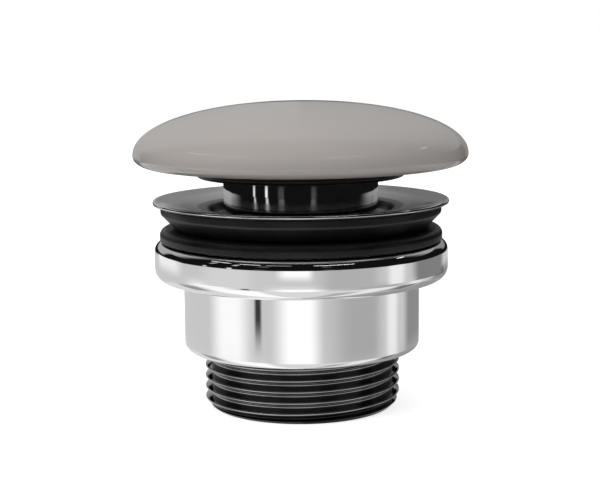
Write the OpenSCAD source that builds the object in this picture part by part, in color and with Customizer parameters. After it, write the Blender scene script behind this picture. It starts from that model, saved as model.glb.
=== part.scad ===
// Free-flow basin waste with a raised glazed cap, a dished flange and a long
// threaded tail. The round back nut squeezes the basin between two gaskets.
// The middle of the tail's end face is the origin and +Z points up to the cap.
// All sizes are in millimetres.

/* [Tail] */

// outer radius of the tail thread, G 1 1/4
tail_r = 20.955; // [20.5:0.005:22.5]
// depth of the tail thread, which the end chamfer takes away
thread_depth = 1.48; // [0.8:0.01:1.6]
// wall left between the root of the thread and the waterway
tail_wall = 1.575; // [1.2:0.005:2.6]
// chamfer at the mouth of the waterway
bore_chamfer = 0.4; // [0.2:0.1:0.8]
// length of thread left showing below the nut
tail_showing = 12.4; // [6:0.1:30]

/* [Back nut] */

// wall of the plain barrel of the nut
nut_wall = 4.2; // [2.8:0.1:6]
// how far the broad collar at the top stands out from the barrel
nut_collar_over = 6.1; // [5:0.1:10]
// height of the whole nut
nut_h = 23.2; // [16:0.1:32]
// height of the collar
nut_collar_h = 8.1; // [6:0.1:12]
// rounding of the collar's top edge
nut_top_round = 2.0; // [0.5:0.1:2.6]
// rounding of the collar's lower edge
nut_under_round = 2.5; // [0.5:0.1:3]
// hollow fillet where the collar meets the barrel
nut_fillet = 0.8; // [0.3:0.1:1.5]
// rounding of the nut's foot
nut_foot_round = 1.5; // [0.5:0.1:2]
// lead-in chamfer at both ends of the nut's thread
nut_lead = 1.2; // [0.5:0.1:1.6]
// radial play between the nut and the tail thread
thread_play = 0.05; // [0.02:0.01:0.09]

/* [Slip washer] */

// how far inside the collar the washer under the gasket ends
slip_in = 3.3; // [2.8:0.1:5]
// thickness of the washer
slip_t = 1.4; // [0.8:0.1:2]
// how far the washer stands proud of the nut
slip_proud = 0.2; // [0.1:0.05:0.4]

/* [Gaskets] */

// how far inside the nut's collar the lower gasket ends
lower_gasket_in = 1.2; // [0.2:0.1:2]
// thickness of the lower gasket
lower_gasket_h = 2.6; // [2:0.1:6]
// rounding of the lower gasket's top edge
lower_gasket_round = 1.4; // [0.4:0.1:2]
// how far inside the flange rim the upper gasket ends
upper_gasket_in = 1.6; // [0.8:0.1:2.4]
// height of the upper gasket below the flange rim
upper_gasket_h = 5.1; // [4.6:0.1:8]
// height of the upper gasket's straight outer band
upper_gasket_band = 1.5; // [0.8:0.1:2]
// step in of the bevel under that band, and its height
upper_gasket_bevel = 1.1; // [0.5:0.1:1.5]
// how far inside the band the upper gasket's cone ends
upper_gasket_taper = 3.1; // [2:0.1:5]
// radial play of both gaskets and the washer on the tail
gasket_play = 0.3; // [0.1:0.05:0.6]
// gap left between the upper gasket and the flange it seats under
gasket_seat_gap = 0.05; // [0.02:0.01:0.15]

/* [Flange] */

// how far the flange reaches out past the tail
flange_over = 10.545; // [9:0.005:14]
// thickness of the flange at its rim
flange_t = 0.9; // [0.8:0.05:1.6]
// width of the flat land along the rim
flange_land = 0.8; // [0.5:0.1:1.5]
// fall of the dish from the rim to the throat
dish_fall = 1.6; // [0.8:0.1:2.2]
// radius of the trumpet that leads from the dish down into the waterway
throat_round = 3.5; // [3:0.1:4.5]
// how far the thick middle of the flange's underside reaches past the tail
flange_hub_over = 3.045; // [2:0.005:4]
// how far that middle lies below the rim's underside
flange_hub_drop = 2.2; // [1.6:0.1:3]

/* [Cross] */

// number of arms of the cast cross
arm_count = 4; // [3:1:6]
// thickness of each arm
arm_t = 2.4; // [1.8:0.1:3.5]
// height of each arm where it leaves the wall
arm_h = 6.0; // [4:0.1:9]
// how far the socket's top lies below the flange rim
socket_drop = 6.4; // [4.9:0.1:8]
// wall of the socket in the middle of the cross
socket_wall = 2.5; // [1.8:0.1:3.5]
// radius of the socket's bore
socket_r = 6.1; // [5:0.05:7.4]
// room left between the stem's foot and the socket's floor
socket_room = 2.0; // [1:0.1:4]
// radius of the drain hole through the socket's floor
socket_drain_r = 2.0; // [1:0.1:3]
// thickness of the socket's floor
socket_floor = 2.0; // [1.5:0.1:3]

/* [Stem] */

// radial play of the stem in the socket
stem_play = 0.1; // [0.05:0.01:0.1]
// length of stem inside the socket
stem_depth = 14.0; // [12.6:0.1:16.8]
// how far the stem's collar, which stands on the socket, reaches out
stem_collar_over = 2.0; // [1.4:0.1:2.4]
// thickness of the stem's collar
stem_collar_t = 2.0; // [1.2:0.1:3]
// depth of the two seal grooves
groove_depth = 1.65; // [1.4:0.05:1.8]
// width of the two seal grooves
groove_w = 2.2; // [2:0.1:2.6]
// distance between the two seals
seal_pitch = 5.0; // [3.5:0.1:6]
// depth of the upper seal below the collar
seal_depth = 4.0; // [3:0.1:5]
// thickness of each seal ring
seal_t = 1.7; // [1.5:0.05:1.75]

/* [Cap plate] */

// how far the plate under the cap reaches out past the neck
plate_over = 5.8; // [4:0.1:8]
// thickness of the plate
plate_t = 2.9; // [2:0.1:4]
// height of the plate's underside above the flange rim
plate_rise = 4.7; // [3:0.1:9]
// rounding of the plate's lower edge
plate_round = 0.9; // [0.3:0.1:1.4]
// room around the neck, inside the line of the waterway
neck_gap = 1.4; // [0.4:0.1:3]
// wall of the neck
neck_wall = 1.8; // [1.2:0.1:2.5]
// how far the neck reaches below the flange rim
neck_dip = 2.2; // [1:0.1:2.8]
// how deep the neck sleeve stands in its groove in the plate
sleeve_in = 1.0; // [0.6:0.1:1.4]
// radial gap between the sleeve and its groove
sleeve_gap = 0.05; // [0.02:0.01:0.1]
// hollow fillet between the boss and the plate
boss_fillet = 1.0; // [0.5:0.1:2]
// how much slimmer than the stem's collar the boss above it is
boss_in = 0.5; // [0:0.1:1]
// radius of the screw's shank
screw_r = 2.9; // [2.2:0.1:3.2]
// radius of the screw's head
screw_head_r = 5.6; // [4.6:0.1:6]
// length of the screw
screw_len = 16.0; // [14:0.1:18]

/* [Cap] */

// largest radius of the cap
cap_r = 35.5; // [29.5:0.1:42.5]
// height of the dome above the cap's widest ring
cap_dome_h = 11.1; // [8:0.05:16]
// fullness of the dome, where 2 is a plain oval
cap_fullness = 2.1; // [2:0.05:2.6]
// height of the cap below its widest ring
cap_under_h = 2.5; // [2:0.1:4]
// width of the rounded lower edge of the cap
cap_under_round = 4.5; // [2:0.1:7]
// how deep the plate sits up in the cap
cap_seat = 0.6; // [0.3:0.1:1.4]
// radial gap between the plate and the cap's seat
cap_seat_gap = 0.4; // [0.2:0.1:0.8]
// thickness of the bonding ring
bond_t = 0.4; // [0.2:0.1:0.6]
// width of the bonding ring
bond_w = 3.6; // [2:0.1:5]
// depth of the hollow inside the cap above the seat
cap_hollow_h = 5.6; // [4:0.1:6]
// ledge that the bonding ring lies on, inside the plate's edge
cap_ledge = 4.7; // [4:0.1:8]

/* [Hidden] */

$fn = 96;
tiny = 0.01;
eps = 0.2;

// heights of the stack, from the tail's end up
nut_z0 = tail_showing;
nut_z1 = nut_z0 + nut_h;
slip_z1 = nut_z1 + slip_proud;
slip_z0 = slip_z1 - slip_t;
lower_z1 = slip_z1 + lower_gasket_h;
rim_z0 = lower_z1 + upper_gasket_h;
rim_z1 = rim_z0 + flange_t;
hub_z0 = rim_z0 - flange_hub_drop;
dish_z = rim_z1 - dish_fall;

// radii that follow from the tail
flange_r = tail_r + flange_over;
flange_hub_r = tail_r + flange_hub_over;
thread_root_r = tail_r - thread_depth;
bore_r = thread_root_r - tail_wall;
nut_bore_r = tail_r + thread_play;
nut_barrel_r = nut_bore_r + nut_wall;
nut_collar_r = nut_barrel_r + nut_collar_over;
slip_r = nut_collar_r - slip_in;
ring_bore_r = tail_r + gasket_play;
lower_gasket_r = nut_collar_r - lower_gasket_in;
upper_gasket_r = flange_r - upper_gasket_in;
upper_gasket_foot_r = upper_gasket_r - upper_gasket_taper;

// slope of the flange's underside, shared with the gasket that seats on it
under_edge_r = flange_r - flange_t / 2;
under_slope = flange_hub_drop / (under_edge_r - flange_hub_r);
upper_gasket_top =
    rim_z0 - (under_edge_r - upper_gasket_r) * under_slope - gasket_seat_gap;
upper_gasket_in_z = hub_z0 - gasket_seat_gap;

// the socket and the stem that stands in it
socket_outer_r = socket_r + socket_wall;
socket_z1 = rim_z1 - socket_drop;
cross_z = socket_z1 - stem_depth - socket_room - socket_floor;
stem_collar_r = socket_r - stem_play + stem_collar_over;
boss_r = stem_collar_r - boss_in;
stem_r = socket_r - stem_play;
stem_z0 = socket_z1 - stem_depth;
collar_z1 = socket_z1 + stem_collar_t;
groove_r = stem_r - groove_depth;
seal_mid_r = socket_r - 0.02 - seal_t / 2;
seal_upper_z = socket_z1 - seal_depth;
seal_lower_z = seal_upper_z - seal_pitch;

// the plate, its sleeve and the cap that they hold up
neck_r = bore_r - neck_gap;
plate_r = neck_r + plate_over;
cap_hollow_r = plate_r - cap_ledge;
plate_z0 = rim_z1 + plate_rise;
plate_z1 = plate_z0 + plate_t;
neck_z0 = rim_z1 - neck_dip;
bond_z1 = plate_z1 + bond_t;
bond_r1 = plate_r - 0.3;
cap_z0 = bond_z1 - cap_seat - bond_t;
cap_mid_z = cap_z0 + cap_under_h;
screw_z1 = plate_z1 - 0.2;
screw_head_t = screw_head_r - screw_r;
screw_z0 = screw_z1 - screw_len;

// Points on an oval of half sizes a and b, between two angles. A fullness of
// 2 is a plain oval, and more swells its shoulders.
function oval(cx, cz, a, b, fullness, from, to, steps) = [
    for (i = [0 : steps])
        let (t = from + (to - from) * i / steps)
            [
                cx + a * sign(cos(t)) * pow(abs(cos(t)), 2 / fullness),
                cz + b * sign(sin(t)) * pow(abs(sin(t)), 2 / fullness)
            ]
];

// Sliver outside a rounded corner, at the corner x, z. The body lies towards
// -dx and -dz of it.
module outer_sliver(x, z, r, dx, dz) {
    translate([x - dx * r, z - dz * r])
        mirror([dx < 0 ? 1 : 0, 0])
            mirror([0, dz < 0 ? 1 : 0])
                difference() {
                    square(r + eps);
                    circle(r);
                }
}

// Web that fills a hollow corner at x, z with a fillet towards dx, dz
module hollow_web(x, z, r, dx, dz) {
    translate([x + dx * r, z + dz * r])
        mirror([dx > 0 ? 1 : 0, 0])
            mirror([0, dz > 0 ? 1 : 0])
                difference() {
                    square(r + tiny);
                    circle(r);
                }
}

// Section of a plain ring from radius r0 to r1 and from z0 to z1
module band(r0, r1, z0, z1) {
    translate([r0, z0])
        square([r1 - r0, z1 - z0]);
}

// The glazed cap, a shallow pebble with a seat for the plate underneath

module cap_section() {
    difference() {
        polygon(concat(
            [[0, cap_z0]],
            oval(
                cap_r - cap_under_round, cap_mid_z,
                cap_under_round, cap_under_h, 2, -90, 0, 16
            ),
            oval(0, cap_mid_z, cap_r, cap_dome_h, cap_fullness, 2, 88, 44),
            [[0, cap_mid_z + cap_dome_h]]
        ));
        // seat of the plate
        band(-1, plate_r + cap_seat_gap, cap_z0 - 1, bond_z1);
        // hollow that keeps the ceramic an even thickness
        band(-1, cap_hollow_r, cap_z0, bond_z1 + cap_hollow_h - 2);
        translate([-1, bond_z1 + cap_hollow_h - 2 - tiny])
            polygon([
                [0, 0],
                [cap_hollow_r + 1, 0],
                [cap_hollow_r - 4, 2],
                [0, 2]
            ]);
    }
}

module ceramic_cap() {
    color("#aca7a3")
        rotate_extrude()
            cap_section();
}

module bond_ring() {
    color("#6d6a66")
        rotate_extrude()
            band(bond_r1 - bond_w, bond_r1, plate_z1, bond_z1);
}

// The moulded plate that the cap is bonded to, with a boss in the middle

module cap_plate() {
    color("#1d1e20")
        difference() {
            rotate_extrude()
                difference() {
                    union() {
                        band(0, plate_r, plate_z0, plate_z1);
                        band(0, boss_r, collar_z1, plate_z0 + tiny);
                        hollow_web(boss_r, plate_z0, boss_fillet, 1, -1);
                    }
                    outer_sliver(plate_r, plate_z0, plate_round, 1, -1);
                    outer_sliver(plate_r, plate_z1, 0.3, 1, 1);
                    // groove that the sleeve stands in
                    band(
                        neck_r - neck_wall - sleeve_gap, neck_r + sleeve_gap,
                        plate_z0 - tiny, plate_z0 + sleeve_in
                    );
                }
            // clear hole and countersink for the screw
            translate([0, 0, collar_z1 - 1])
                cylinder(h = plate_z1 - collar_z1 + 2, r = screw_r + 0.2);
            translate([0, 0, screw_z1 - screw_head_t - 0.1])
                cylinder(
                    h = screw_head_t + 0.4,
                    r1 = screw_r + 0.2,
                    r2 = screw_head_r + 0.4
                );
        }
}

// The bright sleeve round the boss, which reaches down into the dish

module neck_sleeve() {
    color("#9a9da0")
        rotate_extrude()
            difference() {
                band(neck_r - neck_wall, neck_r, neck_z0, plate_z0 + sleeve_in);
                outer_sliver(neck_r, neck_z0, 0.4, 1, -1);
            }
}

// Countersunk screw that holds the stem up against the plate's boss

module stem_screw() {
    color("#7f8386")
        difference() {
            rotate_extrude()
                polygon([
                    [0, screw_z0],
                    [screw_r - 0.5, screw_z0],
                    [screw_r, screw_z0 + 0.5],
                    [screw_r, screw_z1 - screw_head_t],
                    [screw_head_r, screw_z1],
                    [0, screw_z1]
                ]);
            // hexagon socket
            translate([0, 0, screw_z1 - 1.8])
                cylinder(h = 3, r = 2.2, $fn = 6);
        }
}

// The stem, which pushes down into the socket of the cross

module cap_stem() {
    color("#b9a66a")
        rotate_extrude()
            difference() {
                union() {
                    band(0, stem_r, stem_z0, socket_z1 + tiny);
                    band(0, stem_collar_r, socket_z1, collar_z1);
                }
                // tapped hole
                band(-1, screw_r + 0.05, screw_z0 - 1, collar_z1 + 1);
                // grooves of the two seals
                for (z = [seal_upper_z, seal_lower_z])
                    band(groove_r, stem_r + 1, z - groove_w / 2, z + groove_w / 2);
                // chamfered foot
                polygon([
                    [stem_r - 1.2, stem_z0 - tiny],
                    [stem_r + 1, stem_z0 - tiny],
                    [stem_r + 1, stem_z0 + 2.2]
                ]);
                outer_sliver(stem_collar_r, collar_z1, 0.4, 1, 1);
            }
}

module seal_ring(z) {
    color("#1f2022")
        rotate_extrude()
            translate([seal_mid_r, z])
                circle(d = seal_t);
}

module upper_seal() {
    seal_ring(seal_upper_z);
}

module lower_seal() {
    seal_ring(seal_lower_z);
}

// The waste body, one casting: dished flange, tapering throat, threaded tail
// and the cross that carries the cap's socket

module body_outside() {
    difference() {
        polygon([
            [0, 0],
            [thread_root_r, 0],
            [tail_r, thread_depth],
            [tail_r, hub_z0],
            [flange_hub_r, hub_z0],
            [under_edge_r, rim_z0],
            [flange_r, rim_z0],
            [flange_r, rim_z1],
            [0, rim_z1]
        ]);
        outer_sliver(flange_r, rim_z1, flange_t * 0.45, 1, 1);
        outer_sliver(flange_r, rim_z0, flange_t * 0.45, 1, -1);
    }
}

module throat() {
    lip_r = bore_r + throat_round;
    difference() {
        polygon([
            [-1, rim_z1 + 1],
            [flange_r - flange_land, rim_z1 + 1],
            [flange_r - flange_land, rim_z1],
            [lip_r, dish_z],
            [bore_r, dish_z - throat_round],
            [bore_r, bore_chamfer],
            [bore_r + bore_chamfer + tiny, -tiny],
            [-1, -tiny]
        ]);
        // the trumpet's round, left standing
        intersection() {
            translate([lip_r, dish_z - throat_round])
                circle(throat_round);
            band(bore_r - 1, lip_r, dish_z - throat_round, dish_z + eps);
        }
    }
}

// One arm of the cross, deeper at the wall than at the socket
module arm() {
    rotate([90, 0, 0])
        translate([0, 0, -arm_t / 2])
            linear_extrude(arm_t)
                polygon([
                    [socket_r + 1, cross_z],
                    [bore_r + 0.8, cross_z],
                    [bore_r + 0.8, cross_z + arm_h],
                    [socket_outer_r - 0.2, cross_z + arm_h + 5],
                    [socket_r + 1, cross_z + arm_h + 5]
                ]);
}

module socket() {
    rotate_extrude()
        difference() {
            band(0, socket_outer_r, cross_z, socket_z1);
            outer_sliver(socket_outer_r, socket_z1, 0.6, 1, 1);
            outer_sliver(socket_outer_r, cross_z, 1.2, 1, -1);
            band(-1, socket_r, cross_z + socket_floor, socket_z1 + 1);
            band(-1, socket_drain_r, cross_z - 1, cross_z + socket_floor + 1);
            // lead-in that the seals pass on their way down
            polygon([
                [socket_r - 1, socket_z1 + tiny],
                [socket_r + 0.5, socket_z1 + tiny],
                [socket_r - tiny, socket_z1 - 1.2],
                [socket_r - 1, socket_z1 - 1.2]
            ]);
        }
}

module waste_body() {
    color("#a3a7aa")
        union() {
            rotate_extrude()
                difference() {
                    body_outside();
                    throat();
                }
            socket();
            for (i = [0 : arm_count - 1])
                rotate([0, 0, 45 + i * 360 / arm_count])
                    arm();
        }
}

// Rubber ring under the flange, coned so that it centres in the basin's hole

module upper_gasket() {
    band_z = upper_gasket_top - upper_gasket_band;
    color("#2a2b2d")
        rotate_extrude()
            difference() {
                polygon([
                    [ring_bore_r, lower_z1],
                    [upper_gasket_foot_r, lower_z1],
                    [upper_gasket_r - upper_gasket_bevel, band_z - upper_gasket_bevel],
                    [upper_gasket_r, band_z],
                    [upper_gasket_r, upper_gasket_top],
                    [flange_hub_r, upper_gasket_in_z],
                    [ring_bore_r, upper_gasket_in_z]
                ]);
                outer_sliver(upper_gasket_foot_r, lower_z1, 0.2, 1, -1);
            }
}

// Rubber ring that the nut presses up against the basin

module lower_gasket() {
    color("#2c2d2f")
        rotate_extrude()
            difference() {
                band(ring_bore_r, lower_gasket_r, slip_z1, lower_z1);
                outer_sliver(
                    lower_gasket_r, lower_z1,
                    lower_gasket_round, 1, 1
                );
                outer_sliver(lower_gasket_r, slip_z1, 0.3, 1, -1);
            }
}

module slip_washer() {
    color("#d9d9d4")
        rotate_extrude()
            band(ring_bore_r, slip_r, slip_z0, slip_z1);
}

// The round back nut, turned by hand from below

module back_nut() {
    collar_z0 = nut_z1 - nut_collar_h;
    color("#c9cccf")
        rotate_extrude()
            difference() {
                union() {
                    band(nut_bore_r, nut_barrel_r, nut_z0, nut_z1);
                    band(nut_bore_r, nut_collar_r, collar_z0, nut_z1);
                    hollow_web(nut_barrel_r, collar_z0, nut_fillet, 1, -1);
                }
                outer_sliver(nut_collar_r, nut_z1, nut_top_round, 1, 1);
                outer_sliver(nut_collar_r, collar_z0, nut_under_round, 1, -1);
                outer_sliver(nut_barrel_r, nut_z0, nut_foot_round, 1, -1);
                // pocket of the slip washer
                band(nut_bore_r - 1, slip_r + 0.4, slip_z0, nut_z1 + 1);
                // lead-in at the foot and at the pocket
                polygon([
                    [nut_bore_r - 1, nut_z0 - tiny],
                    [nut_bore_r + nut_lead, nut_z0 - tiny],
                    [nut_bore_r, nut_z0 + nut_lead],
                    [nut_bore_r - 1, nut_z0 + nut_lead]
                ]);
                polygon([
                    [nut_bore_r - 1, slip_z0 + tiny],
                    [nut_bore_r + nut_lead, slip_z0 + tiny],
                    [nut_bore_r, slip_z0 - nut_lead],
                    [nut_bore_r - 1, slip_z0 - nut_lead]
                ]);
            }
}

ceramic_cap();
bond_ring();
cap_plate();
neck_sleeve();
stem_screw();
cap_stem();
upper_seal();
lower_seal();
waste_body();
upper_gasket();
lower_gasket();
slip_washer();
back_nut();
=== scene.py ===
import math
from collections import namedtuple

import bmesh
import bpy
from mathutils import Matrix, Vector


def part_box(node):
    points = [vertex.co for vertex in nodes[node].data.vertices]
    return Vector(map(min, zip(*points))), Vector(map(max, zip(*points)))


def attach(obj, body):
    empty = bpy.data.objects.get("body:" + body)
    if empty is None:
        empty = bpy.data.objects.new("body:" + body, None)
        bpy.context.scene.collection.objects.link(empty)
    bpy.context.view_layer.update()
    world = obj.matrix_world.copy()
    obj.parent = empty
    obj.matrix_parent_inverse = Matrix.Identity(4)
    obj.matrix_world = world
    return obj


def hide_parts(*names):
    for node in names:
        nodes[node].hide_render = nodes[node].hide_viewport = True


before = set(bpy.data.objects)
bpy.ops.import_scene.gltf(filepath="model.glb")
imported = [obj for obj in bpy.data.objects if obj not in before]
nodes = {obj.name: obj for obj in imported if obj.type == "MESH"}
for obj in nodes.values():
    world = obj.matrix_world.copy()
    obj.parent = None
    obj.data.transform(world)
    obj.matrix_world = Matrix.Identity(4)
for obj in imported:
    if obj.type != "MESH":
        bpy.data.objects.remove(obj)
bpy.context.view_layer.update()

# Sizes are in millimetres, and come from the frame where it has them
MM = 0.001


def top_of(node):
    """Height of a node's highest point."""
    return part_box(node)[1].z / MM


def foot_of(node):
    """Height of a node's lowest point."""
    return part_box(node)[0].z / MM


def reach_of(node):
    """Largest radius of a round node."""
    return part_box(node)[1].x / MM


# The flange, from its rim down to the hub that the gasket is seated on
RIM_R = reach_of("waste_body")
RIM_Z = top_of("waste_body")
RIM_T = 0.9
RIM_LAND = 0.8
RIM_FOOT = RIM_Z - RIM_T
DISH_DEPTH = 1.6
DISH_Z = RIM_Z - DISH_DEPTH
THROAT_ROUND = 3.5
HUB_R = 24.0
HUB_DROP = 2.2
HUB_Z = RIM_FOOT - HUB_DROP

# The tail, with the G 1 1/4 thread
TAIL_R = 20.955
THREAD_PITCH = 2.309
THREAD_DEPTH = 1.4785
THREAD_ROOT_R = TAIL_R - THREAD_DEPTH
BORE_R = 17.9
BORE_CHAMFER = 0.4

# The cross and the socket in its middle
SOCKET_R = 6.1
SOCKET_WALL = 2.5
SOCKET_SINK = 6.4
SOCKET_TOP = RIM_Z - SOCKET_SINK
ROOM_UNDER_STEM = 2.0
SOCKET_FLOOR = foot_of("cap_stem") - ROOM_UNDER_STEM
SOCKET_FLOOR_T = 2.0
CROSS_Z = SOCKET_FLOOR - SOCKET_FLOOR_T
ARM_T = 2.4
ARM_H = 6.0
ARM_RISE = 5.0

# The wall of the neck's sleeve, and the room between pieces
SLEEVE_T = 1.8
SLEEVE_GAP = 0.05
PLATE_GAP = 0.4
WASHER_GAP = 0.4
NUT_GAP = 0.05
GASKET_GAP = 0.3
HUB_GAP = 0.05

# Distance at which two points are welded
WELD = 0.0005 * MM

# Steps of a full turn, for a large piece, a small one and the thread
TURN_STEPS = 160
SMALL_TURN_STEPS = 96
THREAD_STEPS = 120

# Edges sharper than this many degrees stay sharp, on most pieces and on the
# casting with its thread
SHARP = 32
CASTING_SHARP = 38


# Making


def only(piece):
    """Makes one piece the only selected and the active one."""
    bpy.ops.object.select_all(action='DESELECT')
    piece.select_set(True)
    bpy.context.view_layer.objects.active = piece


def start_point(name, r, z):
    """A new mesh of one point in the XZ plane, left in edit mode."""
    bpy.ops.object.select_all(action='DESELECT')
    bpy.ops.mesh.primitive_plane_add(size=MM)
    piece = bpy.context.object
    piece.name = piece.data.name = name
    bpy.ops.object.mode_set(mode='EDIT')
    bpy.ops.mesh.select_all(action='SELECT')
    bpy.ops.mesh.merge(type='CENTER')
    bpy.ops.transform.translate(value=(r * MM, 0, z * MM))
    return piece


def select_points(piece, places):
    """Selects the points of the XZ section that lie at the places given."""
    mesh = bmesh.from_edit_mesh(piece.data)
    bpy.ops.mesh.select_all(action='DESELECT')
    for r, z in places:
        place = Vector((r * MM, 0, z * MM))
        nearest = min(mesh.verts, key=lambda v: (v.co - place).length)
        nearest.select_set(True)
    mesh.select_flush_mode()
    bmesh.update_edit_mesh(piece.data)


def draw_section(name, corners, rounds=(), closed=True):
    """Draws a section corner by corner and rounds some of its corners.

    A corner is its radius and height. A round is a corner, the length that
    the round takes off each side, and how many steps it has.
    """
    r, z = corners[0]
    piece = start_point(name, r, z)
    for next_r, next_z in corners[1:]:
        step = ((next_r - r) * MM, 0, (next_z - z) * MM)
        bpy.ops.mesh.extrude_region_move(
            TRANSFORM_OT_translate={"value": step}
        )
        r, z = next_r, next_z
    if closed:
        select_points(piece, [corners[0], corners[-1]])
        bpy.ops.mesh.edge_face_add()
    for place, length, steps in rounds:
        select_points(piece, [place])
        bpy.ops.mesh.bevel(
            offset_type='OFFSET', offset=length * MM, segments=steps,
            profile=0.5, affect='VERTICES',
        )
    return piece


def face_outwards():
    """Turns the faces of the whole mesh in edit mode outwards."""
    bpy.ops.mesh.select_all(action='SELECT')
    bpy.ops.mesh.normals_make_consistent(inside=False)


def weld_all():
    """Merges the doubled points of the whole mesh in edit mode."""
    bpy.ops.mesh.select_all(action='SELECT')
    bpy.ops.mesh.remove_doubles(threshold=WELD)


def spin_section(steps=TURN_STEPS):
    """Spins the section in edit mode about the axis and welds its seam."""
    bpy.ops.mesh.select_all(action='SELECT')
    bpy.ops.mesh.spin(
        steps=steps, angle=math.tau, center=(0, 0, 0), axis=(0, 0, 1),
    )
    weld_all()
    face_outwards()
    bpy.ops.object.mode_set(mode='OBJECT')


def finish_shading(piece, angle=SHARP):
    """Smooth shading that keeps flat and straight walls flat."""
    only(piece)
    bpy.ops.object.shade_smooth_by_angle(angle=math.radians(angle))
    modifier = piece.modifiers.new("even_normals", 'WEIGHTED_NORMAL')
    modifier.keep_sharp = True
    bpy.ops.object.modifier_apply(modifier=modifier.name)


def turned(name, corners, rounds=(), closed=True):
    """A turned or moulded round piece from its section."""
    piece = draw_section(name, corners, rounds, closed)
    spin_section()
    finish_shading(piece)
    return piece


def combine(piece, tool, how):
    """Joins a tool to a piece or keeps what they share, and drops the tool."""
    only(piece)
    modifier = piece.modifiers.new("combine", 'BOOLEAN')
    modifier.operation = how
    modifier.solver = 'EXACT'
    modifier.object = tool
    bpy.ops.object.modifier_apply(modifier=modifier.name)
    bpy.data.objects.remove(tool)


def oval(r, z, across, up, start, end, steps, fullness=2.0):
    """Points on an oval about r, z between two angles in degrees.

    A fullness of 2 is a plain oval, more swells its shoulders.
    """
    points = []
    for i in range(steps + 1):
        angle = math.radians(start + (end - start) * i / steps)
        out = abs(math.cos(angle)) ** (2 / fullness)
        over = abs(math.sin(angle)) ** (2 / fullness)
        points.append((
            r + across * math.copysign(out, math.cos(angle)),
            z + up * math.copysign(over, math.sin(angle)),
        ))
    return points


# The cap


def make_glazed_cap():
    """An oval dome over a softer underside, hollow, with a seat below."""
    cap_r = reach_of("ceramic_cap")
    foot = foot_of("ceramic_cap")
    crown = top_of("ceramic_cap")
    under_w = 4.5
    under_h = 2.5
    widest = foot + under_h
    dome_start = 1.5
    dome_fullness = 2.1
    seat_r = reach_of("cap_plate") + PLATE_GAP
    seat_z = top_of("bond_ring")
    hollow_r = 17.6
    hollow_h = 5.6
    slope_w = 4
    slope_h = 2
    hollow_z = seat_z + hollow_h
    slope_r = hollow_r - slope_w
    slope_z = hollow_z - slope_h
    corners = [
        (0, hollow_z), (slope_r, hollow_z), (hollow_r, slope_z),
        (hollow_r, seat_z), (seat_r, seat_z), (seat_r, foot),
    ]
    corners += oval(cap_r - under_w, widest, under_w, under_h, -90, 0, 20)
    corners += oval(
        0, widest, cap_r, crown - widest, dome_start, 90, 60, dome_fullness
    )
    rounds = [
        ((seat_r, foot), 0.35, 4),
        ((seat_r, seat_z), 0.3, 3),
        ((hollow_r, seat_z), 0.4, 3),
        ((hollow_r, slope_z), 1.0, 4),
        ((slope_r, hollow_z), 1.2, 4),
    ]
    return turned("glazed_cap_shell", corners, rounds, closed=False)


def make_cap_plate():
    """Moulded plate with a middle boss and a groove for the sleeve."""
    plate_r = reach_of("cap_plate")
    plate_t = 2.9
    top = top_of("cap_plate")
    foot = top - plate_t
    boss_r = 7.5
    boss_foot = foot_of("cap_plate")
    hole_r = 3.1
    sink_r = 5.9
    sink_depth = 3.0
    sink_foot = top - sink_depth
    sleeve_r = reach_of("neck_sleeve")
    groove_top = top_of("neck_sleeve")
    groove_in = sleeve_r - SLEEVE_T - SLEEVE_GAP
    groove_out = sleeve_r + SLEEVE_GAP
    corners = [
        (hole_r, boss_foot), (boss_r, boss_foot), (boss_r, foot),
        (groove_in, foot), (groove_in, groove_top),
        (groove_out, groove_top), (groove_out, foot),
        (plate_r, foot), (plate_r, top), (sink_r, top), (hole_r, sink_foot),
    ]
    rounds = [
        ((boss_r, boss_foot), 0.4, 4),
        ((boss_r, foot), 1.0, 6),
        ((groove_in, foot), 0.1, 2),
        ((groove_out, foot), 0.1, 2),
        ((plate_r, foot), 0.9, 10),
        ((plate_r, top), 0.3, 4),
        ((sink_r, top), 0.15, 2),
    ]
    return turned("cap_plate_moulded", corners, rounds)


def make_neck_sleeve():
    """Bright sleeve round the boss, with softened ends."""
    outer = reach_of("neck_sleeve")
    inner = outer - SLEEVE_T
    foot = foot_of("neck_sleeve")
    top = top_of("neck_sleeve")
    corners = [(inner, foot), (outer, foot), (outer, top), (inner, top)]
    rounds = [
        ((inner, foot), 0.3, 3),
        ((outer, foot), 0.4, 6),
        ((outer, top), 0.15, 3),
        ((inner, top), 0.15, 3),
    ]
    return turned("neck_sleeve_turned", corners, rounds)


# The waste body


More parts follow.
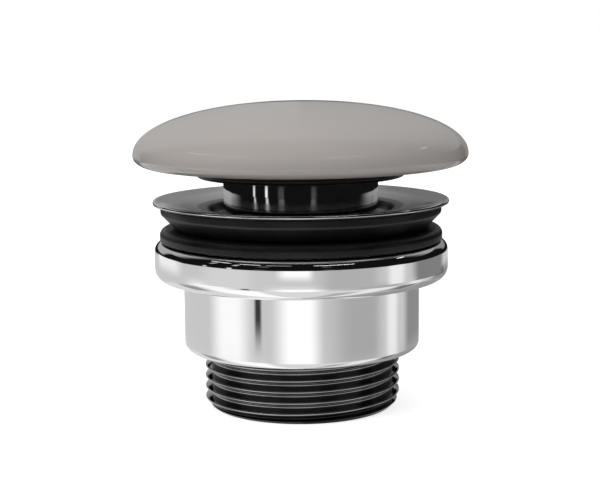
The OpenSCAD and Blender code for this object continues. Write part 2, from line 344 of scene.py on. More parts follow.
def make_threaded_rod():
    """A solid rod with the pipe thread, widened above the tail.

    One pitch of the thread is drawn, wound up with the Screw modifier, cut
    level at both ends, and its top is spread out past the flange. The flanks
    run past the crest and the root, and the rounds bring them back.
    """
    flank_over = 0.3164
    flank_round = 0.609
    crest_gap = 0.005
    crest = TAIL_R - crest_gap + flank_over
    root = THREAD_ROOT_R - flank_over
    middle = (crest + root) / 2
    turns = 24
    turns_below = 3
    corners = [
        (middle, 0),
        (crest, THREAD_PITCH / 4),
        (root, THREAD_PITCH * 3 / 4),
        (middle, THREAD_PITCH),
    ]
    rounds = [(corners[1], flank_round, 5), (corners[2], flank_round, 5)]
    rod = draw_section("threaded_rod", corners, rounds, closed=False)
    bpy.ops.mesh.select_all(action='SELECT')
    bpy.ops.transform.translate(
        value=(0, 0, -turns_below * THREAD_PITCH * MM)
    )
    bpy.ops.object.mode_set(mode='OBJECT')
    wind = rod.modifiers.new("wind", 'SCREW')
    wind.angle = math.tau
    wind.screw_offset = THREAD_PITCH * MM
    wind.iterations = turns
    wind.steps = wind.render_steps = THREAD_STEPS
    wind.use_merge_vertices = True
    wind.merge_threshold = WELD
    bpy.ops.object.modifier_apply(modifier=wind.name)

    past_tail = 0.7
    under_hub = 0.06
    spread = 2
    head_h = 10
    below = Vector((0, 0, -past_tail * MM))
    above = Vector((0, 0, (HUB_Z - under_hub) * MM))
    bpy.ops.object.mode_set(mode='EDIT')
    weld_all()
    bpy.ops.mesh.bisect(
        plane_co=below, plane_no=(0, 0, 1), use_fill=True, clear_inner=True,
        threshold=WELD,
    )
    bpy.ops.mesh.select_all(action='SELECT')
    bpy.ops.mesh.bisect(
        plane_co=above, plane_no=(0, 0, 1), use_fill=True, clear_outer=True,
        threshold=WELD,
    )
    bpy.ops.mesh.extrude_region_move()
    bpy.ops.transform.resize(
        value=(spread, spread, 1), center_override=above
    )
    bpy.ops.mesh.extrude_region_move(
        TRANSFORM_OT_translate={"value": (0, 0, head_h * MM)}
    )
    face_outwards()
    bpy.ops.object.mode_set(mode='OBJECT')
    return rod


def make_arms():
    """Four arms of the cross, one drawn, thickened, softened and copied.

    Their ends are sunk into the bore's wall and into the socket's.
    """
    wall_sink = 0.8
    socket_sink = 0.2
    end_in_socket = 1
    outer = BORE_R + wall_sink
    inner = SOCKET_R + end_in_socket
    socket_side = SOCKET_R + SOCKET_WALL - socket_sink
    shoulder = CROSS_Z + ARM_H
    soft_edge = 0.5
    first_arm = math.radians(45)
    quarter = math.radians(90)
    corners = [
        (inner, CROSS_Z), (outer, CROSS_Z), (outer, shoulder),
        (socket_side, shoulder + ARM_RISE), (inner, shoulder + ARM_RISE),
    ]
    arms = draw_section("arms", corners)
    bpy.ops.mesh.select_all(action='SELECT')
    bpy.ops.mesh.edge_face_add()
    bpy.ops.transform.translate(value=(0, -ARM_T / 2 * MM, 0))
    bpy.ops.mesh.extrude_region_move(
        TRANSFORM_OT_translate={"value": (0, ARM_T * MM, 0)}
    )
    face_outwards()
    bpy.ops.mesh.bevel(
        offset_type='OFFSET', offset=soft_edge * MM, segments=4,
        affect='EDGES',
    )
    bpy.ops.mesh.select_all(action='SELECT')
    bpy.ops.transform.rotate(
        value=first_arm, orient_axis='Z', center_override=(0, 0, 0),
    )
    for _ in range(3):
        bpy.ops.mesh.duplicate()
        bpy.ops.transform.rotate(
            value=quarter, orient_axis='Z', center_override=(0, 0, 0),
        )
    bpy.ops.object.mode_set(mode='OBJECT')
    return arms


def make_socket():
    """The cup in the middle of the cross, with a drain hole in its floor."""
    outer = SOCKET_R + SOCKET_WALL
    drain = 2.0
    lead_w = 0.5
    lead_h = 1.2
    corners = [
        (drain, CROSS_Z), (outer, CROSS_Z), (outer, SOCKET_TOP),
        (SOCKET_R + lead_w, SOCKET_TOP), (SOCKET_R, SOCKET_TOP - lead_h),
        (SOCKET_R, SOCKET_FLOOR), (drain, SOCKET_FLOOR),
    ]
    rounds = [
        ((outer, CROSS_Z), 1.2, 6),
        ((outer, SOCKET_TOP), 0.6, 5),
        ((drain, CROSS_Z), 0.3, 2),
        ((drain, SOCKET_FLOOR), 0.2, 2),
    ]
    socket = draw_section("socket", corners, rounds)
    spin_section(SMALL_TURN_STEPS)
    return socket


def make_waste_body():
    """The casting: flange, trumpet throat, threaded tail, cross, socket."""
    lip_r = BORE_R + THROAT_ROUND
    throat_z = DISH_Z - THROAT_ROUND
    land_r = RIM_R - RIM_LAND
    under_edge = RIM_R - RIM_T / 2
    corners = [
        (BORE_R + BORE_CHAMFER, 0), (THREAD_ROOT_R, 0),
        (TAIL_R, THREAD_DEPTH), (TAIL_R, HUB_Z), (HUB_R, HUB_Z),
        (under_edge, RIM_FOOT), (RIM_R, RIM_FOOT), (RIM_R, RIM_Z),
        (land_r, RIM_Z),
    ]
    corners += oval(lip_r, throat_z, THROAT_ROUND, THROAT_ROUND, 90, 180, 16)
    corners += [(BORE_R, BORE_CHAMFER)]
    rounds = [
        ((RIM_R, RIM_FOOT), 0.45, 5),
        ((RIM_R, RIM_Z), 0.45, 5),
        ((land_r, RIM_Z), 0.35, 4),
        ((lip_r, DISH_Z), 0.8, 4),
        ((HUB_R, HUB_Z), 0.5, 3),
    ]
    body = draw_section("waste_casting", corners, rounds)
    spin_section()
    combine(body, make_threaded_rod(), 'INTERSECT')
    combine(body, make_socket(), 'UNION')
    combine(body, make_arms(), 'UNION')
    finish_shading(body, CASTING_SHARP)
    return body


# Gaskets and nut


def make_upper_gasket():
    """Coned ring under the flange."""
    outer = reach_of("upper_gasket")
    foot = foot_of("upper_gasket")
    top = top_of("upper_gasket")
    bore = TAIL_R + GASKET_GAP
    seat = HUB_Z - HUB_GAP
    band_h = 1.5
    bevel = 1.1
    cone_w = 3.1
    band_foot = top - band_h
    cone_foot = outer - cone_w
    corners = [
        (bore, foot), (cone_foot, foot),
        (outer - bevel, band_foot - bevel), (outer, band_foot),
        (outer, top), (HUB_R, seat), (bore, seat),
    ]
    rounds = [
        ((cone_foot, foot), 0.2, 3),
        ((outer - bevel, band_foot - bevel), 0.35, 4),
        ((outer, band_foot), 0.3, 4),
        ((outer, top), 0.15, 3),
    ]
    return turned("upper_gasket_moulded", corners, rounds)


def make_lower_gasket():
    """Flat ring with a rolled top edge, pressed up by the nut."""
    outer = reach_of("lower_gasket")
    foot = foot_of("lower_gasket")
    top = top_of("lower_gasket")
    bore = TAIL_R + GASKET_GAP
    corners = [(bore, foot), (outer, foot), (outer, top), (bore, top)]
    rounds = [((outer, top), 1.4, 10), ((outer, foot), 0.3, 4)]
    return turned("lower_gasket_moulded", corners, rounds)


def make_back_nut():
    """Plain barrel under a broad rounded collar, with a washer pocket."""
    foot = foot_of("back_nut")
    top = top_of("back_nut")
    bore = TAIL_R + NUT_GAP
    wall = 4.2
    barrel_r = bore + wall
    collar_r = reach_of("back_nut")
    collar_h = 8.1
    collar_foot = top - collar_h
    pocket_r = reach_of("slip_washer") + WASHER_GAP
    pocket_foot = foot_of("slip_washer")
    lead = 1.2
    corners = [
        (bore + lead, foot), (barrel_r, foot), (barrel_r, collar_foot),
        (collar_r, collar_foot), (collar_r, top), (pocket_r, top),
        (pocket_r, pocket_foot), (bore + lead, pocket_foot),
        (bore, pocket_foot - lead), (bore, foot + lead),
    ]
    rounds = [
        ((barrel_r, foot), 1.5, 10),
        ((barrel_r, collar_foot), 0.8, 7),
        ((collar_r, collar_foot), 2.5, 16),
        ((collar_r, top), 2.0, 12),
        ((pocket_r, top), 0.25, 3),
    ]
    return turned("back_nut_turned", corners, rounds)


# Nodes that materials share


def feed(tree, value, socket):
    """Links an output to a socket, or sets the socket to a plain value."""
    if isinstance(value, bpy.types.NodeSocket):
        tree.links.new(value, socket)
    else:
        socket.default_value = value


def math_node(tree, how, first, second=None, clamp=False):
    """A Math node fed by outputs or plain numbers."""
    node = tree.nodes.new('ShaderNodeMath')
    node.operation = how
    node.use_clamp = clamp
    feed(tree, first, node.inputs[0])
    if second is not None:
        feed(tree, second, node.inputs[1])
    return node.outputs[0]


def all_of(tree, first, *others):
    """A mask that is one only where all of the masks are."""
    for other in others:
        first = math_node(tree, 'MULTIPLY', first, other)
    return first


def mixed(tree, mask, first, second, kind='RGBA'):
    """Goes from the first to the second as the mask goes from 0 to 1."""
    mix = tree.nodes.new('ShaderNodeMix')
    mix.data_type = kind
    feed(tree, mask, mix.inputs['Factor'])
    feed(tree, first, mix.inputs['A'])
    feed(tree, second, mix.inputs['B'])
    return mix.outputs['Result']


def step_between(tree, value, start, end, shape='SMOOTHSTEP'):
    """Goes from zero at the start to one at the end, whichever is lower."""
    step = tree.nodes.new('ShaderNodeMapRange')
    step.interpolation_type = shape
    step.inputs['From Min'].default_value = min(start, end)
    step.inputs['From Max'].default_value = max(start, end)
    if start > end:
        step.inputs['To Min'].default_value = 1
        step.inputs['To Max'].default_value = 0
    tree.links.new(value, step.inputs['Value'])
    return step.outputs[0]


def noise_of(tree, vector, scale, detail):
    """A Noise node's value."""
    noise = tree.nodes.new('ShaderNodeTexNoise')
    noise.inputs['Detail'].default_value = detail
    tree.links.new(vector, noise.inputs['Vector'])
    tree.links.new(scale, noise.inputs['Scale'])
    return noise.outputs['Fac']


def apart(tree, places):
    """The X, Y and Z of the places."""
    node = tree.nodes.new('ShaderNodeSeparateXYZ')
    tree.links.new(places, node.inputs[0])
    return node.outputs['X'], node.outputs['Y'], node.outputs['Z']


def group(name, inputs, outputs):
    """A new shader node group with the sockets named."""
    tree = bpy.data.node_groups.new(name, 'ShaderNodeTree')
    for label, kind, value in inputs:
        socket = tree.interface.new_socket(
            label, in_out='INPUT', socket_type=kind
        )
        if value is not None:
            socket.default_value = value
    for label, kind in outputs:
        tree.interface.new_socket(label, in_out='OUTPUT', socket_type=kind)
    begin = tree.nodes.new('NodeGroupInput').outputs
    end = tree.nodes.new('NodeGroupOutput').inputs
    return tree, begin, end


# The values that a Noise node mostly keeps between, and the Pointiness at
# which an edge begins to wear and is worn
NOISE_SPAN = (0.3, 0.7)
WORN_EDGE = (0.52, 0.62)


def build_tone_group():
    """Slow change of tone and roughness, as handling and drying leave it."""
    tree, begin, end = group(
        "drifting_tone",
        [
            ("Vector", 'NodeSocketVector', None),
            ("Base", 'NodeSocketColor', (0.5, 0.5, 0.5, 1)),
            ("Shade", 'NodeSocketColor', (0.4, 0.4, 0.4, 1)),
            ("Scale", 'NodeSocketFloat', 60.0),
            ("Amount", 'NodeSocketFloat', 0.3),
            ("Rough low", 'NodeSocketFloat', 0.1),
            ("Rough high", 'NodeSocketFloat', 0.2),
        ],
        [("Color", 'NodeSocketColor'), ("Roughness", 'NodeSocketFloat')],
    )
    noise = noise_of(tree, begin["Vector"], begin["Scale"], 4)
    drift = step_between(tree, noise, *NOISE_SPAN, 'LINEAR')
    weight = math_node(tree, 'MULTIPLY', drift, begin["Amount"])
    colour = mixed(tree, weight, begin["Base"], begin["Shade"])
    tree.links.new(colour, end["Color"])
    rough = tree.nodes.new('ShaderNodeMapRange')
    tree.links.new(drift, rough.inputs['Value'])
    tree.links.new(begin["Rough low"], rough.inputs['To Min'])
    tree.links.new(begin["Rough high"], rough.inputs['To Max'])
    tree.links.new(rough.outputs[0], end["Roughness"])
    return tree


def build_grain_group():
    """Height of a fine grain over a slower waviness, for a Bump node."""
    tree, begin, end = group(
        "fine_grain",
        [
            ("Vector", 'NodeSocketVector', None),
            ("Grain scale", 'NodeSocketFloat', 2000.0),
            ("Wave scale", 'NodeSocketFloat', 80.0),
            ("Wave share", 'NodeSocketFloat', 0.3),
        ],
        [("Height", 'NodeSocketFloat')],
    )
    fine = noise_of(tree, begin["Vector"], begin["Grain scale"], 3)
    slow = noise_of(tree, begin["Vector"], begin["Wave scale"], 1)
    height = mixed(tree, begin["Wave share"], fine, slow, 'FLOAT')
    tree.links.new(height, end["Height"])
    return tree


def build_edge_group():
    """Mask of worn edges, broken up by noise."""
    tree, begin, end = group(
        "edge_wear",
        [
            ("Vector", 'NodeSocketVector', None),
            ("Breakup scale", 'NodeSocketFloat', 400.0),
            ("Amount", 'NodeSocketFloat', 0.5),
        ],
        [("Mask", 'NodeSocketFloat')],
    )
    bend = tree.nodes.new('ShaderNodeNewGeometry').outputs['Pointiness']
    edge = step_between(tree, bend, *WORN_EDGE, 'LINEAR')
    noise = noise_of(tree, begin["Vector"], begin["Breakup scale"], 5)
    broken = math_node(tree, 'MULTIPLY', edge, noise)
    mask = math_node(tree, 'MULTIPLY', broken, begin["Amount"], True)
    tree.links.new(mask, end["Mask"])
    return tree


TONE = build_tone_group()
GRAIN = build_grain_group()
EDGES = build_edge_group()


def use_group(tree, which, places, **values):
    """Places a group, sets its inputs by name and returns its outputs."""
    node = tree.nodes.new('ShaderNodeGroup')
    node.node_tree = which
    tree.links.new(places, node.inputs["Vector"])
    for label, value in values.items():
        node.inputs[label.replace("_", " ")].default_value = value
    return node.outputs


# Materials


def plain_finish(
    name, base, shade, tone, rough, grain, bump, metallic=0.0, wear=None,
):
    """A finish of drifting tone, grain and, where given, worn edges.

    tone is the scale and amount of the drift from the base to the shade,
    rough the lowest and highest roughness, grain the scale of the grain, the
    scale of the waves and the waves' share, bump the height of both in mm,
    and wear the colour of a worn edge and how much of it shows.
    """
    made = bpy.data.materials.new(name)
    made.use_nodes = True
    tree = made.node_tree
    shader = tree.nodes['Principled BSDF'].inputs
    places = tree.nodes.new('ShaderNodeTexCoord').outputs['Object']
    shader['Metallic'].default_value = metallic
    drift = use_group(
        tree, TONE, places, Base=(*base, 1), Shade=(*shade, 1),
        Scale=tone[0], Amount=tone[1],
        Rough_low=rough[0], Rough_high=rough[1],
    )
    tree.links.new(drift["Roughness"], shader['Roughness'])
    colour = drift["Color"]
    if wear:
        edge = use_group(tree, EDGES, places, Amount=wear[1])
        colour = mixed(tree, edge["Mask"], colour, (*wear[0], 1))
    tree.links.new(colour, shader['Base Color'])
    relief = use_group(
        tree, GRAIN, places, Grain_scale=grain[0], Wave_scale=grain[1],
        Wave_share=grain[2],
    )
    bumps = tree.nodes.new('ShaderNodeBump')
    bumps.inputs['Distance'].default_value = bump * MM
    bumps.inputs['Strength'].default_value = 1.0
    tree.links.new(relief["Height"], bumps.inputs['Height'])
    tree.links.new(bumps.outputs['Normal'], shader['Normal'])
    return made, tree, shader, places


def source_of(socket):
    """The output that feeds a socket."""
    return socket.links[0].from_socket


# The glaze ends, and the painted shade of the cap's foot begins, between these
# heights over the cap's foot, in mm
GLAZE = (0.425, 0.395, 0.375)
GLAZE_SHADE = (0.400, 0.371, 0.352)
GLAZE_COAT = 0.8
# Painted shade: the near black colour given to the cap's foot, which faces
# down
PAINTED_SHADE_FOOT = (0.02, 0.02, 0.02, 1)
SHADED_BARE_TOP = 0.02
GLAZE_FOOT = 0.05


def glaze():
    """Warm grey glaze over the cap, with painted shade on its foot, which is
    near black and has no coat.
    """
    made, tree, shader, places = plain_finish(
        "warm_grey_glaze", GLAZE, GLAZE_SHADE, tone=(45, 0.6),
        rough=(0.3, 0.36), grain=(900, 60, 0.85), bump=0.03,
    )
    shader['Specular IOR Level'].default_value = 0.2
    shader['Coat Roughness'].default_value = 0.02
    foot = foot_of("ceramic_cap")
    _, _, height = apart(tree, places)
    glazed_and_unshaded = step_between(
        tree, height, (foot + SHADED_BARE_TOP) * MM, (foot + GLAZE_FOOT) * MM,
        'LINEAR',
    )
    # Painted shade: the foot's colour is mixed to near black, and the coat is
    # left off there
    colour = shader['Base Color']
    colour_with_painted_shade = mixed(tree, glazed_and_unshaded, PAINTED_SHADE_FOOT, source_of(colour))
    tree.links.new(colour_with_painted_shade, colour)
    coat = math_node(tree, 'MULTIPLY', glazed_and_unshaded, GLAZE_COAT)
    tree.links.new(coat, shader['Coat Weight'])
    return made


CHROME = (0.90, 0.90, 0.905)

# Painted shade: how dark the casting's chrome colour is made at its hidden
# places, such as the thread, and how rough its dish is
THROAT_PAINTED_SHADE = 0.3
THREAD_PAINTED_SHADE = 0.36
FLANK_PAINTED_SHADE = 0.1
TAIL_FOOT_PAINTED_SHADE = 0.03
UNDER_FLANGE_PAINTED_SHADE = 0.08
DISH_ROUGHNESS = 0.27


def bright_chrome():
    """Polished chrome of the nut and the neck."""
    return plain_finish(
        "bright_chrome", CHROME, (0.82, 0.82, 0.83), tone=(70, 0.35),
        rough=(0.03, 0.07), grain=(1500, 120, 0.9), bump=0.004,
        metallic=1.0,
    )[0]


def cast_chrome():
    """Chrome over the casting, satin in the dish, with painted shade where it
    hides.

    The throat, the thread and its flanks, the tail's foot and the underside
    of the flange each get painted shade: their chrome colour is darker than on
    the open faces. Places are in mm.
    """
    made, tree, shader, places = plain_finish(
        "chrome_over_casting", CHROME, (0.80, 0.80, 0.81), tone=(70, 0.35),
        rough=(0.04, 0.09), grain=(1500, 120, 0.8), bump=0.004,
        metallic=1.0,
    )
    x, y, z = apart(tree, places)
    flat = tree.nodes.new('ShaderNodeCombineXYZ')
    tree.links.new(x, flat.inputs['X'])
    tree.links.new(y, flat.inputs['Y'])
    length = tree.nodes.new('ShaderNodeVectorMath')
    length.operation = 'LENGTH'
    tree.links.new(flat.outputs[0], length.inputs[0])
    radius = math_node(tree, 'DIVIDE', length.outputs['Value'], MM)
    height = math_node(tree, 'DIVIDE', z, MM)

    def past(value, limit):
        return math_node(tree, 'GREATER_THAN', value, limit)

    def short_of(value, limit):
        return math_node(tree, 'LESS_THAN', value, limit)

    def between(value, start, end):
        return step_between(tree, value, start, end)

    # The thread: outside the middle of the tail's wall, below the hub. It gets
    # painted shade, darker still on the flanks between crest and root
    wall_middle = THREAD_ROOT_R - 0.9
    thread_top = HUB_Z - 0.1
    thread = all_of(
        tree, past(radius, wall_middle), short_of(height, thread_top)
    )
    off_crest = between(radius, TAIL_R - 0.02, TAIL_R - 0.09)
    off_root = between(radius, THREAD_ROOT_R + 0.02, THREAD_ROOT_R + 0.08)
    flank = all_of(tree, off_crest, off_root, thread)
    # The tail's lowest 1.6 mm gets a near black painted shade
    foot_h = 1.6
    tail_foot = all_of(tree, short_of(height, foot_h), thread)

    # Under the flange: up to the middle of its rim, at its edge and its hub,
    # where painted shade darkens the chrome colour
    edge_w = 0.9
    cone_z = RIM_FOOT - 1.0
    edge_or_hub = math_node(
        tree, 'MAXIMUM', past(radius, RIM_R - edge_w),
        short_of(height, cone_z),
    )
    under = all_of(
        tree, past(height, thread_top),
        between(height, RIM_FOOT + 0.34, RIM_FOOT + 0.26), edge_or_hub,
    )

    # The throat, fading out over its lip, which gets painted shade, and the
    # dish above its round, which is only made rougher
    lip_r = BORE_R + THROAT_ROUND
    throat = between(radius, lip_r + 1, lip_r)
    dish = all_of(
        tree, past(height, DISH_Z - THROAT_ROUND),
        between(radius, RIM_R - 3, RIM_R - 7),
    )

    rough = shader['Roughness']
    blur = mixed(tree, dish, source_of(rough), DISH_ROUGHNESS, 'FLOAT')
    tree.links.new(blur, rough)
    into = shader['Base Color']
    colour = source_of(into)
    cool = 1.03
    # Painted shade: each masked place's chrome colour is mixed down to its
    # darker grey
    for mask, tone in (
        (throat, THROAT_PAINTED_SHADE), (thread, THREAD_PAINTED_SHADE), (flank, FLANK_PAINTED_SHADE),
        (tail_foot, TAIL_FOOT_PAINTED_SHADE), (under, UNDER_FLANGE_PAINTED_SHADE),
    ):
        colour = mixed(tree, mask, colour, (tone, tone, tone * cool, 1))
    tree.links.new(colour, into)
    return made


def gasket_rubber():
    """Black moulded rubber with a faint bloom on its edges."""
    return plain_finish(
        "moulded_rubber", (0.004, 0.004, 0.0043), (0.008, 0.008, 0.0085),
        tone=(110, 0.8), rough=(0.34, 0.48), grain=(1400, 140, 0.4),
        bump=0.03, wear=((0.03, 0.03, 0.031), 0.3),
    )[0]


def plate_plastic():
    """Satin black plastic of the cap's plate."""
    made, _, shader, _ = plain_finish(
        "satin_black_plastic", (0.008, 0.008, 0.009), (0.013, 0.013, 0.014),
        tone=(120, 0.7), rough=(0.3, 0.4), grain=(1600, 160, 0.5),
        bump=0.02, wear=((0.04, 0.04, 0.041), 0.3),
    )
    shader['Specular IOR Level'].default_value = 0.35
    return made


# Finishes of the CAD nodes that stay, with the nodes that have each
NODE_FINISHES = [
    (("stem_screw",), dict(
        name="plain_steel", base=(0.55, 0.55, 0.56), shade=(0.42, 0.42, 0.43),
        tone=(200, 0.6), rough=(0.28, 0.42), grain=(3000, 300, 0.4),
        bump=0.01, metallic=1.0,
    )),
    (("cap_stem",), dict(
        name="turned_brass", base=(0.66, 0.50, 0.24),
        shade=(0.52, 0.38, 0.17), tone=(160, 0.6), rough=(0.22, 0.36),
        grain=(2600, 260, 0.4), bump=0.01, metallic=1.0,
    )),
    (("upper_seal", "lower_seal"), dict(
        name="seal_rubber", base=(0.02, 0.02, 0.021), shade=(0.03, 0.03, 0.03),
        tone=(300, 0.6), rough=(0.3, 0.42), grain=(3000, 300, 0.5),
        bump=0.01,
    )),
    (("slip_washer",), dict(
        name="slip_plastic", base=(0.72, 0.72, 0.69), shade=(0.62, 0.62, 0.59),
        tone=(120, 0.6), rough=(0.38, 0.5), grain=(1800, 200, 0.5),
        bump=0.01,
    )),
    (("bond_ring",), dict(
        name="cured_silicone", base=(0.16, 0.155, 0.15),
        shade=(0.12, 0.118, 0.115), tone=(240, 0.6), rough=(0.35, 0.5),
        grain=(1500, 220, 0.5), bump=0.02,
    )),
]


def dress(piece, finish):
    """Gives a piece or a CAD node one material."""
    piece.data.materials.clear()
    piece.data.materials.append(finish)


# Pieces

glaze_finish = glaze()
chrome_finish = bright_chrome()
casting_finish = cast_chrome()
rubber_finish = gasket_rubber()
plate_finish = plate_plastic()

# Each piece's function, the CAD node that it stands for, the body that it
# rides on, a slot name for its finish, and its material
PIECES = [
    (make_glazed_cap, "ceramic_cap", "cap", "glazed_cap", glaze_finish),
    (make_cap_plate, "cap_plate", "cap", "black_plastic", plate_finish),
    (make_neck_sleeve, "neck_sleeve", "cap", "chrome", chrome_finish),
    (make_waste_body, "waste_body", "waste", "chrome", casting_finish),
    (make_upper_gasket, "upper_gasket", "waste", "gasket_rubber",
     rubber_finish),
    (make_lower_gasket, "lower_gasket", "gasket_stack", "gasket_rubber",
     rubber_finish),
    (make_back_nut, "back_nut", "nut", "chrome", chrome_finish),
]
for make, node, body, slot, finish in PIECES:
    piece = make()
    dress(piece, finish)
    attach(piece, body)
    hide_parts(node)

for names, finish in NODE_FINISHES:
    made = plain_finish(**finish)[0]
    for name in names:
        dress(nodes[name], made)


# Studio

# Level of the world for light that is neither seen nor mirrored, the floor's
# grey, and the glow that makes the lit floor white to the camera
WORLD_LEVEL = 0.45
FLOOR_GREY = (0.7, 0.7, 0.7, 1)
FLOOR_GLOW = 0.7
FLOOR_SIZE = 8


def add_floor():
    """A large pale floor that is white to the camera but keeps a shadow."""
    bpy.ops.object.select_all(action='DESELECT')
    bpy.ops.mesh.primitive_plane_add(size=FLOOR_SIZE)
    floor = bpy.context.object
    floor.name = "studio_floor"
    made = bpy.data.materials.new("floor_white")
    made.use_nodes = True
    tree = made.node_tree
    matt = tree.nodes['Principled BSDF']
    matt.inputs['Base Color'].default_value = FLOOR_GREY
    matt.inputs['Roughness'].default_value = 0.9
    matt.inputs['Specular IOR Level'].default_value = 0.0
    glow = tree.nodes.new('ShaderNodeEmission')
    seen = tree.nodes.new('ShaderNodeLightPath').outputs['Is Camera Ray']
    level = math_node(tree, 'MULTIPLY', seen, FLOOR_GLOW)
    tree.links.new(level, glow.inputs['Strength'])
    both = tree.nodes.new('ShaderNodeAddShader')
    tree.links.new(matt.outputs[0], both.inputs[0])
    tree.links.new(glow.outputs[0], both.inputs[1])
    surface = tree.nodes['Material Output'].inputs['Surface']
    tree.links.new(both.outputs[0], surface)
    floor.data.materials.append(made)
    floor.visible_glossy = False


def add_world():
    """White to the camera and in metal, and a plain level of light."""
    world = bpy.data.worlds.new("studio_air")
    bpy.context.scene.world = world
    world.use_nodes = True
    tree = world.node_tree
    back = tree.nodes['Background'].inputs
    ray = tree.nodes.new('ShaderNodeLightPath').outputs
    seen = math_node(tree, 'ADD', ray['Is Camera Ray'], ray['Is Glossy Ray'])
    seen = math_node(tree, 'ADD', seen, ray['Is Transmission Ray'], True)
    level = tree.nodes.new('ShaderNodeMapRange')
    level.inputs['To Min'].default_value = WORLD_LEVEL
    level.inputs['To Max'].default_value = 1.0
    tree.links.new(seen, level.inputs['Value'])
    tree.links.new(level.outputs[0], back['Strength'])
    back['Color'].default_value = (1, 1, 1, 1)


# The tent that the chrome mirrors, in metres, with its foot far below the
# floor because the floor doesn't show in gloss, and the level between panels
TENT_R = 0.095
TENT_FOOT = -0.12
TENT_TOP = 0.17
TENT_SIDES = 96
TENT_LEVEL = 0.006

# A panel's left and right edge are in degrees from the camera's side, and its
# lowest and highest point in mm. Each is followed by how far the edges fade.
# A panel covers those above it in the list.
Panel = namedtuple(
    "Panel",
    "name left right left_soft right_soft low high low_soft high_soft bright",
)
PANELS = [
    ("low_wall", -400, 400, 1, 1, -200, 24, 1, 4, 0.63),
    ("side_cloth_left", -156, -122, 8, 8, 45, 90, 4, 8, 0.42),
    ("side_cloth_right", 134, 156, 8, 6, 45, 90, 4, 8, 0.26),
    ("back_cloth_left", -170, -158, 5, 7, 53, 70, 4, 4, 0.23),
    ("back_cloth_right", 156, 169, 7, 5, 53, 70, 4, 4, 0.17),
    ("high_cloth_left", -400, -120, 1, 30, 74, 400, 4, 1, 0.42),
    ("high_cloth_right", 120, 400, 30, 1, 74, 400, 4, 1, 0.36),
    ("front_window", -8, 5, 20, 15, -200, 16, 1, 4, 1.15),
    ("left_window", -70, -58, 22, 20, -200, 16, 1, 4, 1.08),
    ("left_flag", -38, -35.4, 3, 3, 9, 13.4, 11, 1.5, 0.04),
    ("right_screen", 44, 62, 30, 15, -200, 16, 1, 4, 0.43),
    ("right_window", 84, 88, 9, 9, -200, 16, 1, 4, 0.92),
    ("right_flag", 114, 158, 14, 16, -200, 16, 1, 4, 0.28),
    ("short_flag", 112, 125, 6, 6, 13.5, 17, 2, 2, 0.1),
    ("under_wall", -400, 400, 1, 1, -200, -14, 1, 14, 0.76),
    ("under_right_screen", 32, 92, 14, 10, -200, -50, 1, 12, 0.45),
    ("under_right_dark", 102, 172, 12, 6, -200, -12, 1, 12, 0.33),
    ("under_window", -66, -34, 10, 10, -200, -12, 1, 12, 1.1),
    ("under_right_window", 50, 66, 8, 6, -200, -12, 1, 10, 0.88),
    ("under_right_flag", 78, 90, 8, 8, -50, -12, 8, 8, 0.2),
    ("under_left_flag", -100, -84, 8, 8, -50, -12, 8, 8, 0.34),
    ("side_glow", -122, -100, 12, 14, 21, 31, 4, 2, 0.95),
    ("collar_mid_glow", -58, -40, 18, 14, 17, 24, 3, 3, 0.72),
    ("collar_window", -9, 3, 9, 6, 23, 26, 3, 2, 1.1),
    ("collar_screen", 22, 44, 18, 12, 17, 26, 3, 3, 0.48),
    ("collar_right_glow", 63, 68, 8, 8, 18, 26, 3, 3, 0.95),
    ("collar_flag", 88, 118, 12, 12, 17, 27, 3, 3, 0.23),
    ("left_strip", -67, -65.5, 1.5, 1.5, 31, 39, 2, 3, 0.8),
    ("second_strip", -48, -46, 1.5, 1.5, 31, 39, 2, 3, 0.95),
    ("third_strip", -28, -24, 4, 3, 31, 39, 2, 3, 0.06),
    ("right_strip", 15, 17, 2, 6, 31, 39, 2, 3, 0.07),
    ("left_strip_top", -67, -65.5, 1.5, 1.5, 74, 90, 5, 5, 0.6),
    ("second_strip_top", -48, -46, 1.5, 1.5, 74, 90, 5, 5, 0.7),
    ("third_strip_top", -28, -24, 4, 3, 74, 86, 5, 5, 0.12),
    ("right_strip_top", 15, 17, 2, 6, 74, 86, 5, 5, 0.12),
    ("far_left_lamp", -80, -61, 2, 2, 113, 118, 1, 1, 2.2),
    ("left_lamp", -50, -34, 2, 2, 113, 118, 1, 1, 2.2),
    ("middle_lamp", -27, -9, 2, 2, 113, 117, 1, 1, 1.2),
    ("right_lamp", 11, 42, 2, 2, 113, 117, 1, 1, 3.2),
    ("far_right_lamp", 90, 99, 2, 2, 113, 117, 1, 1, 2.6),
]


def soft_band(tree, value, low, high, low_soft, high_soft):
    """One between two places, fading to zero past both."""
    rise = step_between(tree, value, low - low_soft, low)
    fall = step_between(tree, value, high + high_soft, high)
    return all_of(tree, rise, fall)


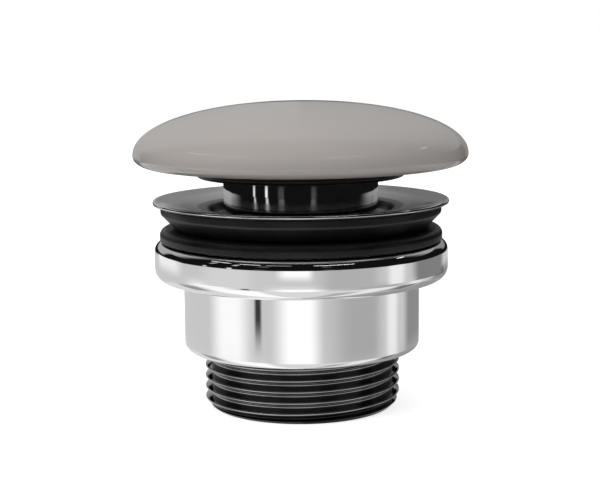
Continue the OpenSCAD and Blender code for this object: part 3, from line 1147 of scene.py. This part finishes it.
def add_tent():
    """A light tent with soft panels, which only shows in reflections."""
    bpy.ops.object.select_all(action='DESELECT')
    bpy.ops.mesh.primitive_cylinder_add(
        vertices=TENT_SIDES, radius=TENT_R, depth=TENT_TOP - TENT_FOOT,
        end_fill_type='NGON', location=(0, 0, (TENT_TOP + TENT_FOOT) / 2),
    )
    tent = bpy.context.object
    tent.name = "studio_tent"
    bpy.ops.object.transform_apply(location=True)
    made = bpy.data.materials.new("tent_panels")
    made.use_nodes = True
    tree = made.node_tree
    tree.nodes.remove(tree.nodes['Principled BSDF'])
    places = tree.nodes.new('ShaderNodeTexCoord').outputs['Object']
    x, y, z = apart(tree, places)
    towards = math_node(tree, 'MULTIPLY', y, -1.0)
    turn = math_node(tree, 'ARCTAN2', x, towards)
    azimuth = math_node(tree, 'MULTIPLY', turn, 180 / math.pi)
    height = math_node(tree, 'DIVIDE', z, MM)
    level = TENT_LEVEL
    for panel in (Panel(*row) for row in PANELS):
        across = soft_band(
            tree, azimuth, panel.left, panel.right,
            panel.left_soft, panel.right_soft,
        )
        up = soft_band(
            tree, height, panel.low, panel.high,
            panel.low_soft, panel.high_soft,
        )
        mask = all_of(tree, across, up)
        level = mixed(tree, mask, level, panel.bright, 'FLOAT')
    glow = tree.nodes.new('ShaderNodeEmission')
    tree.links.new(level, glow.inputs['Strength'])
    surface = tree.nodes['Material Output'].inputs['Surface']
    tree.links.new(glow.outputs[0], surface)
    tent.data.materials.append(made)
    tent.visible_camera = False
    tent.visible_diffuse = False
    tent.visible_shadow = False
    tent.visible_transmission = False


# The lamps' places and sizes are in metres, and their powers in watts
LAMP_AIM = Vector((0, 0, 0.03))
LAMPS = [
    ("key_lamp", (-0.45, -0.35, 0.5), 0.4, 2.0),
    ("fill_lamp", (0.5, -0.3, 0.4), 0.4, 0.5),
    ("back_lamp", (0.0, 0.5, 0.5), 0.4, 0.6),
    ("top_lamp", (-0.1, 0.0, 0.6), 0.5, 0.8),
]


def add_lamp(name, place, size, power):
    """A soft square lamp at a place, aimed at the object."""
    data = bpy.data.lights.new(name, 'AREA')
    data.size = size
    data.energy = power
    lamp = bpy.data.objects.new(name, data)
    bpy.context.scene.collection.objects.link(lamp)
    lamp.location = place
    beam = LAMP_AIM - Vector(place)
    lamp.rotation_euler = beam.to_track_quat('-Z', 'Y').to_euler()
    lamp.visible_camera = False
    lamp.visible_glossy = False


# The camera fitted to the thread's width and pitch, the end of the tail and
# the rim of the flange: its place in metres, the degrees that it looks down,
# its roll in radians, and its lens
CAMERA_PLACE = (-0.00027, -0.3053, 0.0788)
CAMERA_DOWN = 8.51
CAMERA_ROLL = -0.0088
CAMERA_LENS = 86.34
CAMERA_SENSOR = 36
CAMERA_NEAR = 0.01


def add_camera():
    """Stands where the photograph was taken from."""
    data = bpy.data.cameras.new("studio_camera")
    data.lens = CAMERA_LENS
    data.sensor_width = CAMERA_SENSOR
    data.sensor_fit = 'HORIZONTAL'
    data.clip_start = CAMERA_NEAR
    camera = bpy.data.objects.new("studio_camera", data)
    bpy.context.scene.collection.objects.link(camera)
    camera.location = CAMERA_PLACE
    camera.rotation_euler = (math.radians(90 - CAMERA_DOWN), 0, 0)
    camera.rotation_euler.rotate_axis('Z', CAMERA_ROLL)
    bpy.context.scene.camera = camera


add_floor()
add_world()
add_tent()
for lamp in LAMPS:
    add_lamp(*lamp)
add_camera()

bpy.context.scene.view_settings.view_transform = 'Standard'
